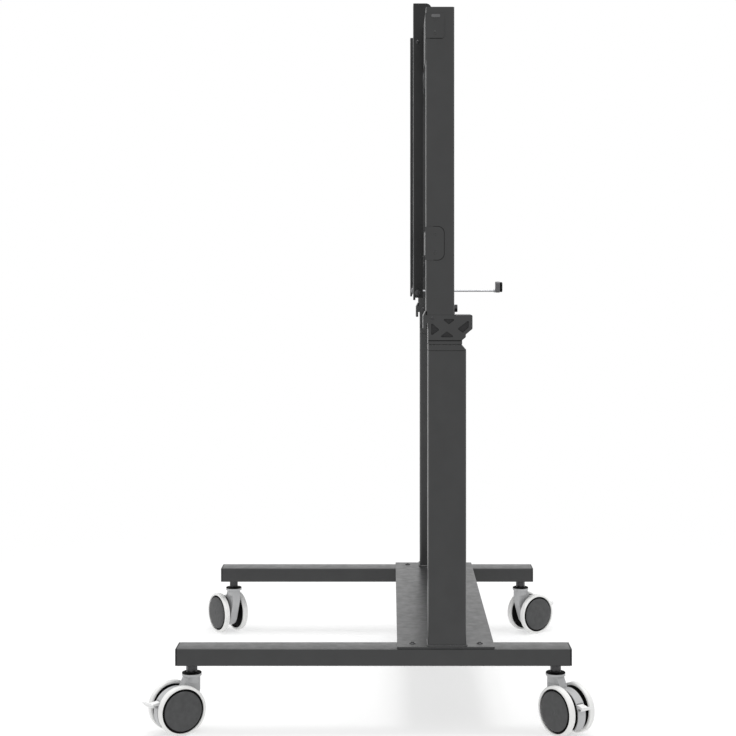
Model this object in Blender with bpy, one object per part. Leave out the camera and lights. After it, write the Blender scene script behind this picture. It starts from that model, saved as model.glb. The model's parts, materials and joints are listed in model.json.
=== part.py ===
"""Display trolley: two castored legs, two lifting posts and a frame with two hook-on display arms.

Metres, +Z up. The origin is on the floor, midway between the legs. The display hangs on the -Y side.
"""

import math

import bmesh
import bpy
from mathutils import Matrix, Vector

# Gap between two pieces that touch, and the gap of a piece that slides or turns
FIT = 0.0003

# Legs: two rectangular tubes along Y
FRAME_WIDTH = 0.910
LEG_LENGTH = 0.800
LEG_WIDTH = 0.060
LEG_HEIGHT = 0.035
LEG_WALL = 0.0025
LEG_CORNER = 0.003
LEG_CAP_THICKNESS = 0.003
LEG_PLUG_DEPTH = 0.012
WELD_NUT_RADIUS = 0.009
WELD_NUT_HEIGHT = 0.012

# Base plate across the legs
PLATE_DEPTH = 0.197
PLATE_THICKNESS = 0.004
PLATE_CENTRE_Y = 0.146

# Lower posts: rectangular tubes that the lifting columns slide in
POST_DEPTH = 0.077
POST_FRONT = 0.110
POST_HEIGHT = 0.596
POST_WALL = 0.003
POST_CORNER = 0.006
COLLAR_HEIGHT = 0.0125
COLLAR_CHAMFER = 0.0083
COLLAR_CHAMFER_HEIGHT = 0.0105
BUSH_DEPTH = 0.045

# Inner lifting columns
INNER_WIDTH = 0.046
INNER_DEPTH = 0.048
INNER_WALL = 0.0025
INNER_CORNER = 0.004
INNER_LENGTH = 0.540

# Heads on the lifting columns: a bracket with a corbel behind and a hooked nose in front
HEAD_HEIGHT = 0.0593
HEAD_NECK_DEPTH = 0.0687
HEAD_NECK_HEIGHT = 0.0085
SHOULDER_DEPTH = 0.0760
SHOULDER_RISE = 0.0060
SHOULDER_FACE = 0.0055
CORBEL_DEPTH = 0.0895
CORBEL_FACE = 0.028
NOSE_LENGTH = 0.010
NOSE_TOP_BELOW = 0.002
NOSE_THICKNESS = 0.014
NOSE_SLOPE_RISE = 0.0085
NOSE_LIP_THICKNESS = 0.0055
NOSE_LIP_DROP = 0.0125
SPIGOT_HEIGHT = 0.050

# Bar between the two heads
CROSS_BAR_SIDE = 0.024
CROSS_BAR_WALL = 0.002
CROSS_BAR_CORNER = 0.003
CROSS_BAR_INSET = 0.002

# Upper columns
COLUMN_DEPTH = 0.0572
COLUMN_FRONT = 0.1058
COLUMN_ABOVE_RAIL = 0.0135
COLUMN_WALL = 0.0025
COLUMN_CORNER = 0.005
COLUMN_LID = 0.003
BOLT_SHANK_RADIUS = 0.004
BOLT_HEAD_RADIUS = 0.0085
BOLT_HEAD_HEIGHT = 0.0070
BOLT_DEPTH = 0.020
BOLT_ABOVE_HEAD = 0.0128

# Rails: sheets across the front of the columns, with tabs around their outer faces and flanges between them
RAIL_DEPTH = 0.0085
RAIL_SHEET = 0.0012
TAB_SHEET = 0.0015
TAB_REACH = 0.0362
TOP_RAIL_HEIGHT = 0.094
TOP_TAB_HEIGHT = 0.050
TOP_TAB_RADIUS = 0.004
BOTTOM_RAIL_HEIGHT = 0.047
BOTTOM_TAB_HEIGHT = 0.067
BOTTOM_TAB_RADIUS = 0.013

# Display arms: channels that hook over the top rail. Their length sets the height of the columns.
ARM_CENTRE_X = 0.245
ARM_WIDTH = 0.040
ARM_BEFORE_RAIL = 0.0006
ARM_SHEET = 0.002
ARM_FRONT = 0.0830
ARM_ABOVE_HEAD = 0.0265
ARM_LENGTH = 0.6343
ARM_ABOVE_RAIL = 0.0525
ARM_TOE_HEIGHT = 0.005
ARM_TOE_DEPTH = 0.0045
HOOK_DROP = 0.018
HOOK_THICKNESS = 0.0089
HOOK_CORNER = 0.012
SLOT_WIDTH = 0.009
SLOT_LENGTH = 0.050
SLOT_PITCH = 0.200
SLOT_COUNT = 3
FIRST_SLOT_ABOVE_BOTTOM = 0.119

# Latch across the arms' lower ends, and the lever that turns it
LATCH_HALF_LENGTH = 0.325
LATCH_RADIUS = 0.004
LATCH_BEHIND_ARM_FRONT = 0.0080
LATCH_ABOVE_ARM_BOTTOM = 0.0165
FINGER_X = 0.090
FINGER_REACH = 0.078
FINGER_THICKNESS = 0.008
FINGER_WIDTH = 0.009
FINGER_GRIP = 0.005
HUB_RADIUS = 0.0085
LEVER_HUB_WIDTH = 0.018
LEVER_RADIUS = 0.0022
LEVER_REACH = 0.197
KNOB_LENGTH = 0.0160
KNOB_WIDTH = 0.020
KNOB_HEIGHT = 0.0255
KNOB_BELOW_LEVER = 0.0040
KNOB_BORE = 0.012

# Casters: twin wheels on an axle behind the swivel axis
CASTER_HEIGHT = 0.137
CASTER_INSET = 0.030
CASTER_TRAIL = 0.032
WHEEL_RADIUS = 0.050
WHEEL_INNER_FACE = 0.0193
WHEEL_WIDTH = 0.0135
TREAD_ROUND = 0.003
AXLE_RADIUS = 0.004
AXLE_END_INSET = 0.002
CAP_RADIUS = 0.044
CAP_THICKNESS = 0.0037
CAP_EDGE_DROP = 0.0018
CAP_CROWN = 0.85
CAP_SEAT_DEPTH = 0.0015
HOUSING_HALF_WIDTH = 0.0100
HOUSING_RADIUS = 0.0465
HOUSING_ARC_BELOW_AXLE = 0.004
HOUSING_ARC_START = -40
AXLE_BOSS_RADIUS = 0.034
HUB_FACE_RADIUS = 0.0095
NECK_RADIUS = 0.0145
NECK_BOTTOM = 0.0985
COLLAR_RADIUS = 0.0200
COLLAR_BOTTOM = 0.1115
COLLAR_TOP = 0.1185
SPINDLE_RADIUS = 0.006
SPINDLE_BOTTOM = 0.099
NUT_RADIUS = 0.0115
THREAD_RADIUS = 0.005
THREAD_LENGTH = 0.018
PEDAL_PIVOT_BACK = 0.036
PEDAL_PIVOT_UP = 0.014
PEDAL_SWING_ROOM = 0.0146
PEDAL_BARREL_RADIUS = 0.0055
PEDAL_HALF_WIDTH = 0.0080
PAD_HALF_WIDTH = 0.0125
PAD_TIP_BACK = 0.071
PAD_THICKNESS = 0.006
PAD_START_BACK = 0.053
PAD_UP = 0.0078
PAD_RISE = 0.0075
TRUNNION_RADIUS = 0.0025

# Which way each caster trails, in degrees about +Z from +X
TRAIL_ANGLES = {"front_left": -146, "front_right": -60, "rear_left": 124, "rear_right": 36}

ROUND = 28
SMALL_ROUND = 12

# Places that follow from the sizes above
LEG_X = (FRAME_WIDTH - LEG_WIDTH) / 2
LEG_TOP = CASTER_HEIGHT + LEG_HEIGHT
PLATE_BOTTOM = LEG_TOP + FIT
PLATE_TOP = PLATE_BOTTOM + PLATE_THICKNESS
POST_BOTTOM = PLATE_TOP + FIT
POST_TOP = POST_BOTTOM + POST_HEIGHT
POST_CENTRE_Y = POST_FRONT + POST_DEPTH / 2
COLLAR_BASE = POST_TOP + FIT
HEAD_BOTTOM = COLLAR_BASE + COLLAR_HEIGHT + FIT
HEAD_TOP = HEAD_BOTTOM + HEAD_HEIGHT
COLUMN_BOTTOM = HEAD_TOP + FIT
COLUMN_CENTRE_Y = COLUMN_FRONT + COLUMN_DEPTH / 2
COLUMN_REAR = COLUMN_FRONT + COLUMN_DEPTH
BOLT_Z = HEAD_TOP + BOLT_ABOVE_HEAD
RAIL_FRONT = COLUMN_FRONT - FIT - RAIL_SHEET
RAIL_REAR = RAIL_FRONT + RAIL_DEPTH
ARM_REAR = RAIL_FRONT - ARM_BEFORE_RAIL
ARM_BOTTOM = HEAD_TOP + ARM_ABOVE_HEAD
ARM_TOP = ARM_BOTTOM + ARM_LENGTH
LATCH_Y = ARM_FRONT + LATCH_BEHIND_ARM_FRONT
LATCH_Z = ARM_BOTTOM + LATCH_ABOVE_ARM_BOTTOM
BOTTOM_RAIL_BOTTOM = LATCH_Z + FINGER_REACH
BOTTOM_RAIL_TOP = BOTTOM_RAIL_BOTTOM + BOTTOM_RAIL_HEIGHT
TOP_RAIL_TOP = ARM_TOP - ARM_ABOVE_RAIL - FIT
TOP_RAIL_BOTTOM = TOP_RAIL_TOP - TOP_RAIL_HEIGHT
COLUMN_TOP = TOP_RAIL_TOP + COLUMN_ABOVE_RAIL
AXLE_Z = WHEEL_RADIUS
WHEEL_OUTER_FACE = WHEEL_INNER_FACE + WHEEL_WIDTH

# Linear base colours, roughness and metallic value of each finish
DARK_COAT = (0.030, 0.031, 0.032), 0.42, 0.0
DARK_PLASTIC = (0.035, 0.036, 0.038), 0.55, 0.0
COVER_GREY = (0.050, 0.051, 0.053), 0.50, 0.0
HOUSING_GREY = (0.48, 0.49, 0.50), 0.45, 0.0
TYRE_GREY = (0.72, 0.72, 0.71), 0.60, 0.0
STEEL = (0.55, 0.56, 0.58), 0.32, 1.0
BLACK_STEEL = (0.060, 0.060, 0.062), 0.40, 0.8


def clear_scene():
    for old in list(bpy.data.objects):
        bpy.data.objects.remove(old, do_unlink=True)


# Shapes


def in_space(u, v, w, axis):
    """The point whose coordinate along axis is w, with u and v along the other two axes in X, Y, Z order."""
    if axis == "X":
        return (w, u, v)
    if axis == "Y":
        return (u, w, v)
    return (u, v, w)


def finished(bm):
    bmesh.ops.remove_doubles(bm, verts=bm.verts, dist=1e-7)
    bmesh.ops.recalc_face_normals(bm, faces=bm.faces)
    mesh = bpy.data.meshes.new("shape")
    bm.to_mesh(mesh)
    bm.free()
    return mesh


def prism(outline, start, end, axis):
    """A solid whose outline is extruded along an axis from start to end."""
    bm = bmesh.new()
    face = bm.faces.new([bm.verts.new(in_space(u, v, start, axis)) for u, v in outline])
    extruded = bmesh.ops.extrude_face_region(bm, geom=[face])["geom"]
    moved = [item for item in extruded if isinstance(item, bmesh.types.BMVert)]
    bmesh.ops.translate(bm, verts=moved, vec=in_space(0, 0, end - start, axis))
    return finished(bm)


def tube(outer, inner, start, end, axis):
    """An open tube between two outlines that have the same number of points."""
    bm = bmesh.new()
    rings = []
    for outline, along in ((outer, start), (outer, end), (inner, end), (inner, start)):
        rings.append([bm.verts.new(in_space(u, v, along, axis)) for u, v in outline])
    for ring, following in zip(rings, rings[1:] + rings[:1]):
        for i in range(len(ring)):
            j = (i + 1) % len(ring)
            bm.faces.new((ring[i], ring[j], following[j], following[i]))
    return finished(bm)


def turned(profile, axis="Z", sides=ROUND):
    """A solid of revolution. The profile's points are (radius, place along the axis)."""
    bm = bmesh.new()
    points = [bm.verts.new((radius, 0, along)) for radius, along in profile]
    edges = [bm.edges.new(pair) for pair in zip(points, points[1:])]
    if profile[0][0] > 0:
        edges.append(bm.edges.new((points[-1], points[0])))
    bmesh.ops.spin(
        bm, geom=points + edges, cent=(0, 0, 0), axis=(0, 0, 1), dvec=(0, 0, 0),
        angle=math.tau, steps=sides, use_merge=True, use_duplicate=False,
    )
    mesh = finished(bm)
    if axis == "X":
        mesh.transform(Matrix.Rotation(math.pi / 2, 4, "Y"))
    elif axis == "Y":
        mesh.transform(Matrix.Rotation(-math.pi / 2, 4, "X"))
    return mesh


def rod(radius, start, end, axis, sides=SMALL_ROUND):
    return turned([(0, end), (radius, end), (radius, start), (0, start)], axis, sides)


def rectangle(u_low, u_high, v_low, v_high):
    return [(u_low, v_low), (u_high, v_low), (u_high, v_high), (u_low, v_high)]


def rounded_rectangle(width, depth, radius, centre=(0, 0), steps=2):
    """Corner points of a rectangle with round corners, anticlockwise."""
    points = []
    for quarter, (sign_u, sign_v) in enumerate(((1, 1), (-1, 1), (-1, -1), (1, -1))):
        corner_u = centre[0] + sign_u * (width / 2 - radius)
        corner_v = centre[1] + sign_v * (depth / 2 - radius)
        for step in range(steps + 1):
            angle = (quarter + step / steps) * math.pi / 2
            points.append((corner_u + radius * math.cos(angle), corner_v + radius * math.sin(angle)))
    return points


def arc(centre, radius, first, last, steps):
    """Points on an arc, with its angles in degrees."""
    points = []
    for step in range(steps + 1):
        angle = math.radians(first + (last - first) * step / steps)
        points.append((centre[0] + radius * math.cos(angle), centre[1] + radius * math.sin(angle)))
    return points


def moved(mesh, x=0.0, y=0.0, z=0.0):
    mesh.transform(Matrix.Translation((x, y, z)))
    return mesh


def combined(base, added=(), removed=()):
    """The base mesh with other meshes joined to it, and then others cut from it."""
    target = bpy.data.objects.new("target", base)
    bpy.context.collection.objects.link(target)
    helpers = []
    for operation, meshes in (("UNION", added), ("DIFFERENCE", removed)):
        for mesh in meshes:
            helper = bpy.data.objects.new("helper", mesh)
            bpy.context.collection.objects.link(helper)
            helpers.append(helper)
            boolean = target.modifiers.new(operation, "BOOLEAN")
            boolean.operation = operation
            boolean.solver = "EXACT"
            boolean.object = helper
    bpy.context.view_layer.update()
    result = bpy.data.meshes.new_from_object(target.evaluated_get(bpy.context.evaluated_depsgraph_get()))
    for done in helpers + [target]:
        bpy.data.objects.remove(done, do_unlink=True)
    return result


def material(name, finish):
    colour, roughness, metallic = finish
    made = bpy.data.materials.new(name)
    made.use_nodes = True
    shader = made.node_tree.nodes["Principled BSDF"]
    shader.inputs["Base Color"].default_value = (*colour, 1)
    shader.inputs["Roughness"].default_value = roughness
    shader.inputs["Metallic"].default_value = metallic
    made.diffuse_color = (*colour, 1)
    return made


def add(name, mesh, finish, parent=None, origin=(0, 0, 0)):
    """A named piece. Its mesh is given in its parent's space, and its own origin is put where asked."""
    mesh = mesh.copy()
    mesh.name = name
    mesh.transform(Matrix.Translation(-Vector(origin)))
    mesh.materials.clear()
    mesh.materials.append(material(name, finish))
    mesh.shade_smooth()
    mesh.set_sharp_from_angle(angle=math.radians(35))
    piece = bpy.data.objects.new(name, mesh)
    piece.location = origin
    piece.parent = parent
    bpy.context.collection.objects.link(piece)
    return piece


def marker(name, place=(0, 0, 0), turn=0.0):
    """An empty that carries the pieces of one moving assembly."""
    empty = bpy.data.objects.new(name, None)
    empty.location = place
    empty.rotation_euler = (0, 0, turn)
    bpy.context.collection.objects.link(empty)
    return empty


# Base: legs, end caps, plate, posts and their collars


def leg_mesh():
    """A leg tube centred on X = 0, with a weld nut and a hole over each caster."""
    centre = (0, CASTER_HEIGHT + LEG_HEIGHT / 2)
    half = LEG_LENGTH / 2 - LEG_CAP_THICKNESS - FIT
    outer = rounded_rectangle(LEG_WIDTH, LEG_HEIGHT, LEG_CORNER, centre)
    inner_corner = max(LEG_CORNER - LEG_WALL, FIT)
    inner = rounded_rectangle(
        LEG_WIDTH - 2 * LEG_WALL, LEG_HEIGHT - 2 * LEG_WALL, inner_corner, centre
    )
    shape = tube(outer, inner, -half, half, "Y")
    floor = CASTER_HEIGHT + LEG_WALL
    bottom = CASTER_HEIGHT + LEG_WALL / 3
    top = floor + WELD_NUT_HEIGHT
    bore = THREAD_RADIUS + FIT
    nut_profile = [(bore, top), (WELD_NUT_RADIUS, top), (WELD_NUT_RADIUS, bottom), (bore, bottom)]
    nuts = []
    holes = []
    for end in (-1, 1):
        y = end * (LEG_LENGTH / 2 - CASTER_INSET)
        nuts.append(moved(turned(nut_profile, sides=SMALL_ROUND), y=y))
        hole_radius = (bore + WELD_NUT_RADIUS) / 2
        holes.append(moved(rod(hole_radius, CASTER_HEIGHT - LEG_WALL, floor + LEG_WALL, "Z"), y=y))
    return combined(combined(shape, (), holes), nuts)


def leg_cap_mesh():
    """The rear end cap of a leg, centred on X = 0. Its plug is inside the tube."""
    centre = (0, CASTER_HEIGHT + LEG_HEIGHT / 2)
    outer_face = LEG_LENGTH / 2
    inner_face = outer_face - LEG_CAP_THICKNESS
    shown = prism(rounded_rectangle(LEG_WIDTH, LEG_HEIGHT, LEG_CORNER, centre), inner_face, outer_face, "Y")
    play = 2 * (LEG_WALL + FIT)
    plug = prism(
        rounded_rectangle(LEG_WIDTH - play, LEG_HEIGHT - play, FIT, centre, steps=1),
        inner_face - LEG_PLUG_DEPTH, outer_face - LEG_CAP_THICKNESS / 2, "Y",
    )
    return combined(shown, [plug])


def build_base():
    leg = leg_mesh()
    rear_cap = leg_cap_mesh()
    front_cap = rear_cap.copy()
    front_cap.transform(Matrix.Rotation(math.pi, 4, "Z"))
    for side, sign in (("left", -1), ("right", 1)):
        x = sign * LEG_X
        add(f"leg_{side}", moved(leg.copy(), x=x), DARK_COAT)
        add(f"leg_cap_front_{side}", moved(front_cap.copy(), x=x), DARK_PLASTIC)
        add(f"leg_cap_rear_{side}", moved(rear_cap.copy(), x=x), DARK_PLASTIC)
    plate = prism(
        rounded_rectangle(FRAME_WIDTH, PLATE_DEPTH, LEG_CORNER, (0, PLATE_CENTRE_Y)),
        PLATE_BOTTOM, PLATE_TOP, "Z",
    )
    add("base_plate", plate, DARK_COAT)
    for side, sign in (("left", -1), ("right", 1)):
        add(f"post_{side}", post_mesh(sign * LEG_X), DARK_COAT)
        add(f"post_collar_{side}", collar_mesh(sign * LEG_X), DARK_PLASTIC)


def post_mesh(x):
    centre = (x, POST_CENTRE_Y)
    outer = rounded_rectangle(LEG_WIDTH, POST_DEPTH, POST_CORNER, centre)
    inner = rounded_rectangle(
        LEG_WIDTH - 2 * POST_WALL, POST_DEPTH - 2 * POST_WALL, POST_CORNER - POST_WALL, centre
    )
    return tube(outer, inner, POST_BOTTOM, POST_TOP, "Z")


def collar_mesh(x):
    """The plastic collar on a post's top, with the bush inside the post that guides the lifting column."""
    centre = (x, POST_CENTRE_Y)
    bore = rounded_rectangle(
        INNER_WIDTH + 2 * FIT, INNER_DEPTH + 2 * FIT, INNER_CORNER + FIT, centre
    )
    rim = rounded_rectangle(LEG_WIDTH, POST_DEPTH, POST_CORNER, centre)
    play = 2 * (POST_WALL + FIT)
    skirt = rounded_rectangle(
        LEG_WIDTH - play, POST_DEPTH - play, POST_CORNER - POST_WALL - FIT, centre
    )
    top = COLLAR_BASE + COLLAR_HEIGHT
    shown = prism(rim, COLLAR_BASE, top, "Z")
    bush = prism(skirt, COLLAR_BASE - BUSH_DEPTH, COLLAR_BASE + COLLAR_HEIGHT / 2, "Z")
    hole = prism(bore, COLLAR_BASE - BUSH_DEPTH - FIT, top + FIT, "Z")
    rear = POST_FRONT + POST_DEPTH
    wedge = prism(
        [(rear - COLLAR_CHAMFER, top), (rear - COLLAR_CHAMFER, top + FIT), (rear + FIT, top + FIT),
         (rear + FIT, top - COLLAR_CHAMFER_HEIGHT), (rear, top - COLLAR_CHAMFER_HEIGHT)],
        x - LEG_WIDTH, x + LEG_WIDTH, "X",
    )
    return combined(shown, [bush], [hole, wedge])


# Lifting frame: inner columns, heads, cross bar, upper columns and rails


def inner_column_mesh(x):
    centre = (x, POST_CENTRE_Y)
    outer = rounded_rectangle(INNER_WIDTH, INNER_DEPTH, INNER_CORNER, centre)
    inner = rounded_rectangle(
        INNER_WIDTH - 2 * INNER_WALL, INNER_DEPTH - 2 * INNER_WALL, INNER_CORNER - INNER_WALL, centre
    )
    top = HEAD_BOTTOM - FIT
    return tube(outer, inner, top - INNER_LENGTH, top, "Z")


def head_outline():
    """The head seen from its side, as (y, z): neck, shoulder, corbel, nose and the nose's lip."""
    nose_front = POST_FRONT - NOSE_LENGTH
    nose_top = HEAD_TOP - NOSE_TOP_BELOW
    nose_underside = nose_top - NOSE_THICKNESS
    lip_bottom = nose_underside - NOSE_LIP_DROP
    lip_rear = nose_front + NOSE_LIP_THICKNESS
    slope_top = COLUMN_FRONT - 2 * FIT
    corbel_rear = POST_FRONT + CORBEL_DEPTH
    neck_rear = POST_FRONT + HEAD_NECK_DEPTH
    neck_top = HEAD_BOTTOM + HEAD_NECK_HEIGHT
    shoulder_rear = POST_FRONT + SHOULDER_DEPTH
    shoulder_bottom = neck_top + SHOULDER_RISE
    return [
        (POST_FRONT, HEAD_BOTTOM),
        (neck_rear, HEAD_BOTTOM),
        (neck_rear, neck_top),
        (shoulder_rear, shoulder_bottom),
        (shoulder_rear, shoulder_bottom + SHOULDER_FACE),
        (corbel_rear, HEAD_TOP - CORBEL_FACE),
        (corbel_rear, HEAD_TOP),
        (slope_top, HEAD_TOP),
        (slope_top, HEAD_TOP + NOSE_SLOPE_RISE),
        (nose_front, nose_top),
        (nose_front, lip_bottom),
        (lip_rear, lip_bottom),
        (lip_rear, nose_underside),
        (POST_FRONT, nose_underside),
    ]


def head_mesh(x):
    half = LEG_WIDTH / 2
    body = prism(head_outline(), x - half, x + half, "X")
    play = 2 * (COLUMN_WALL + FIT)
    spigot = prism(
        rounded_rectangle(
            LEG_WIDTH - play, COLUMN_DEPTH - play, COLUMN_CORNER - COLUMN_WALL, (x, COLUMN_CENTRE_Y)
        ),
        HEAD_TOP - COLUMN_WALL, HEAD_TOP + SPIGOT_HEIGHT, "Z",
    )
    bore_end = COLUMN_REAR - BOLT_DEPTH - FIT
    bore = moved(rod(BOLT_SHANK_RADIUS + FIT, bore_end, COLUMN_REAR, "Y"), x=x, z=BOLT_Z)
    return combined(body, [spigot], [bore])


def column_mesh(x):
    """An upper column: a tube closed by a lid, with a hole for its bolt."""
    centre = (x, COLUMN_CENTRE_Y)
    body = prism(
        rounded_rectangle(LEG_WIDTH, COLUMN_DEPTH, COLUMN_CORNER, centre), COLUMN_BOTTOM, COLUMN_TOP, "Z"
    )
    hollow = prism(
        rounded_rectangle(
            LEG_WIDTH - 2 * COLUMN_WALL, COLUMN_DEPTH - 2 * COLUMN_WALL, COLUMN_CORNER - COLUMN_WALL, centre
        ),
        COLUMN_BOTTOM - FIT, COLUMN_TOP - COLUMN_LID, "Z",
    )
    hole = moved(
        rod(BOLT_SHANK_RADIUS + FIT, COLUMN_REAR - 2 * COLUMN_WALL, COLUMN_REAR + COLUMN_WALL, "Y"),
        x=x, z=BOLT_Z,
    )
    return combined(body, (), [hollow, hole])


def column_bolt_mesh(x):
    """The hexagon bolt behind an upper column, which holds it to the head's spigot."""
    head = rod(BOLT_HEAD_RADIUS, COLUMN_REAR + FIT, COLUMN_REAR + FIT + BOLT_HEAD_HEIGHT, "Y", sides=6)
    shank = rod(BOLT_SHANK_RADIUS, COLUMN_REAR - BOLT_DEPTH, COLUMN_REAR + BOLT_HEAD_HEIGHT / 2, "Y")
    return moved(combined(head, [shank]), x=x, z=BOLT_Z)


def cross_bar_mesh():
    centre = (POST_CENTRE_Y, HEAD_TOP - CROSS_BAR_INSET - CROSS_BAR_SIDE / 2)
    outer = rounded_rectangle(CROSS_BAR_SIDE, CROSS_BAR_SIDE, CROSS_BAR_CORNER, centre)
    hollow = CROSS_BAR_SIDE - 2 * CROSS_BAR_WALL
    inner = rounded_rectangle(hollow, hollow, CROSS_BAR_CORNER - CROSS_BAR_WALL, centre)
    end = LEG_X - LEG_WIDTH / 2 - FIT
    return tube(outer, inner, -end, end, "X")


def rail_mesh(bottom, top, tab_bottom, tab_top, tab_radius):
    """A sheet across the columns' fronts: tabs around their outer faces, and flanges between them."""
    end = FRAME_WIDTH / 2 + FIT + TAB_SHEET
    flange_end = LEG_X - LEG_WIDTH / 2 - FIT
    inside = RAIL_FRONT + RAIL_SHEET
    section = [
        (RAIL_FRONT, bottom), (RAIL_REAR, bottom), (RAIL_REAR, bottom + RAIL_SHEET),
        (inside, bottom + RAIL_SHEET), (inside, top - RAIL_SHEET), (RAIL_REAR, top - RAIL_SHEET),
        (RAIL_REAR, top), (RAIL_FRONT, top),
    ]
    across = FRAME_WIDTH / 2 - COLUMN_CORNER
    front = prism(rectangle(RAIL_FRONT, inside, bottom, top), -across, across, "X")
    level = rectangle(RAIL_FRONT, inside, max(bottom, tab_bottom), min(top, tab_top))
    band = prism(level, -end, end, "X")
    rear = COLUMN_FRONT + TAB_REACH
    tab = [(RAIL_FRONT, tab_bottom)]
    tab += arc((rear - tab_radius, tab_bottom + tab_radius), tab_radius, -90, 0, 5)
    tab += arc((rear - tab_radius, tab_top - tab_radius), tab_radius, 0, 90, 5)
    tab += [(RAIL_FRONT, tab_top)]
    tabs = [prism(tab, side * (end - TAB_SHEET), side * end, "X") for side in (-1, 1)]
    return combined(prism(section, -flange_end, flange_end, "X"), [front, band, *tabs])


def build_lifting_frame():
    lift = marker("lift", (0, 0, HEAD_BOTTOM))
    inverse = Matrix.Translation((0, 0, -HEAD_BOTTOM))

    def carried(name, mesh, finish):
        piece = add(name, mesh, finish, lift)
        piece.matrix_parent_inverse = inverse
        return piece

    for side, sign in (("left", -1), ("right", 1)):
        x = sign * LEG_X
        carried(f"inner_column_{side}", inner_column_mesh(x), BLACK_STEEL)
        carried(f"post_head_{side}", head_mesh(x), DARK_COAT)
        carried(f"column_{side}", column_mesh(x), DARK_COAT)
        carried(f"column_bolt_{side}", column_bolt_mesh(x), BLACK_STEEL)
    carried("cross_bar", cross_bar_mesh(), DARK_COAT)
    top_tab_bottom = TOP_RAIL_TOP - TOP_TAB_HEIGHT
    top_rail = rail_mesh(TOP_RAIL_BOTTOM, TOP_RAIL_TOP, top_tab_bottom, TOP_RAIL_TOP, TOP_TAB_RADIUS)
    carried("top_rail", top_rail, DARK_COAT)
    bottom_middle = (BOTTOM_RAIL_BOTTOM + BOTTOM_RAIL_TOP) / 2
    bottom_rail = rail_mesh(
        BOTTOM_RAIL_BOTTOM, BOTTOM_RAIL_TOP,
        bottom_middle - BOTTOM_TAB_HEIGHT / 2, bottom_middle + BOTTOM_TAB_HEIGHT / 2, BOTTOM_TAB_RADIUS,
    )
    carried("bottom_rail", bottom_rail, DARK_COAT)
    return carried


# Display arms and their latch


def arm_mesh():
    """An arm centred on X = 0: a channel with a slotted web, cut back below the hooks of its two sides."""
    web_rear = ARM_FRONT + ARM_SHEET
    toe_rear = ARM_FRONT + ARM_TOE_DEPTH
    ledge = TOP_RAIL_TOP + FIT
    hook_front = RAIL_REAR + FIT
    hook_rear = hook_front + HOOK_THICKNESS
    hook_bottom = ledge - HOOK_DROP
    half = ARM_WIDTH / 2
    inside = half - ARM_SHEET
    channel = prism(
        [(-half, ARM_FRONT), (half, ARM_FRONT), (half, hook_rear), (inside, hook_rear), (inside, web_rear),
         (-inside, web_rear), (-inside, hook_rear), (-half, hook_rear)],
        ARM_BOTTOM, ARM_TOP, "Z",
    )
    below = ARM_BOTTOM - ARM_SHEET
    behind = hook_rear + ARM_SHEET
    above = ARM_TOP + ARM_SHEET
    back = [(ARM_REAR, below), (behind, below), (behind, hook_bottom), (hook_front, hook_bottom)]
    back += [(hook_front, ledge), (ARM_REAR, ledge)]
    heel = rectangle(toe_rear, ARM_REAR + ARM_SHEET, below, ARM_BOTTOM + ARM_TOE_HEIGHT)
    shoulder = arc((hook_rear - HOOK_CORNER, ARM_TOP - HOOK_CORNER), HOOK_CORNER, 0, 90, 4)
    shoulder += [(hook_rear - HOOK_CORNER, above), (behind, above), (behind, ARM_TOP - HOOK_CORNER)]
    cuts = [prism(outline, -ARM_WIDTH, ARM_WIDTH, "X") for outline in (back, heel, shoulder)]
    cuts.append(moved(rod(LATCH_RADIUS + FIT, -ARM_WIDTH, ARM_WIDTH, "X"), y=LATCH_Y, z=LATCH_Z))
    for index in range(SLOT_COUNT):
        middle = ARM_BOTTOM + FIRST_SLOT_ABOVE_BOTTOM + index * SLOT_PITCH
        slot = rounded_rectangle(SLOT_WIDTH, SLOT_LENGTH, SLOT_WIDTH / 2 - FIT, (0, middle))
        cuts.append(prism(slot, ARM_FRONT - ARM_SHEET, ARM_FRONT + 2 * ARM_SHEET, "Y"))
    return combined(channel, (), cuts)


def finger_outline():
    """A latch finger seen from its side, as (y, z): from the shaft up to behind the bottom rail."""
    front = RAIL_REAR + FIT
    rear = front + FINGER_WIDTH
    tip = BOTTOM_RAIL_BOTTOM + FINGER_GRIP
    below_rail = BOTTOM_RAIL_BOTTOM - FINGER_WIDTH
    outline = arc((LATCH_Y, LATCH_Z), HUB_RADIUS, 150, 330, 8)
    outline += [(rear, below_rail - FINGER_WIDTH), (rear, tip), (front, tip), (front, below_rail)]
    return outline


def latch_mesh():
    shaft = moved(rod(LATCH_RADIUS, -LATCH_HALF_LENGTH, LATCH_HALF_LENGTH, "X"), y=LATCH_Y, z=LATCH_Z)
    fingers = []
    for sign in (-1, 1):
        near = sign * FINGER_X - FINGER_THICKNESS / 2
        fingers.append(prism(finger_outline(), near, near + FINGER_THICKNESS, "X"))
    return combined(shaft, fingers)


def lever_mesh():
    """The release lever: a hub on the latch shaft and a thin rod to the rear."""
    half = LEVER_HUB_WIDTH / 2
    hub = moved(rod(HUB_RADIUS, -half, half, "X"), y=LATCH_Y, z=LATCH_Z)
    bar = moved(rod(LEVER_RADIUS, LATCH_Y + LATCH_RADIUS + FIT, LATCH_Y + LEVER_REACH, "Y"), z=LATCH_Z)
    bore = moved(rod(LATCH_RADIUS + FIT, -LEVER_HUB_WIDTH, LEVER_HUB_WIDTH, "X"), y=LATCH_Y, z=LATCH_Z)
    return combined(hub, [bar], [bore])


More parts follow.
